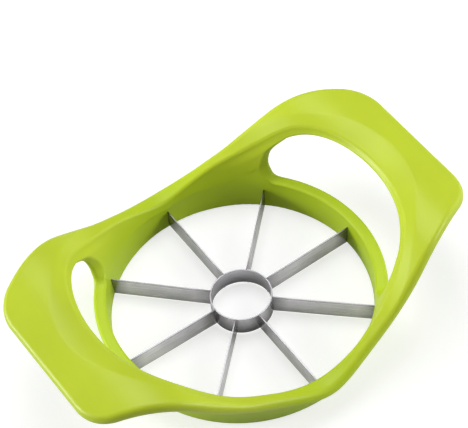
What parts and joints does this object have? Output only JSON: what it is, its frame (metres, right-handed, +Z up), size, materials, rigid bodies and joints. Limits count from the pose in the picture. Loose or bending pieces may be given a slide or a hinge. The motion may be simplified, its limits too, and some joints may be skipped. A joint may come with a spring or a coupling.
{
  "type": "apple slicer and corer",
  "caption": "Push-down apple slicer: a round ring with upswept wing handles and finger openings, thin radial steel blades and a small core ring that cut an apple into wedges.",
  "frame": {"origin": "on the axis of the cutting ring, in the plane of the foot it stands on", "axes": "+Z up along the ring axis, +X along the wing handles, +Y across them"},
  "size_m": [0.1626, 0.112, 0.0415],
  "materials": {
    "green_plastic": "satin moulded plastic, lime green",
    "blade_steel": "fine brushed stainless strip"
  },
  "bodies": {
    "root": {"handle_frame": "green_plastic", "core_ring": "blade_steel", "radial_blade_1": "blade_steel", "radial_blade_2": "blade_steel", "radial_blade_3": "blade_steel", "radial_blade_4": "blade_steel", "radial_blade_5": "blade_steel", "radial_blade_6": "blade_steel", "radial_blade_7": "blade_steel", "radial_blade_8": "blade_steel"}
  },
  "joints": []
}
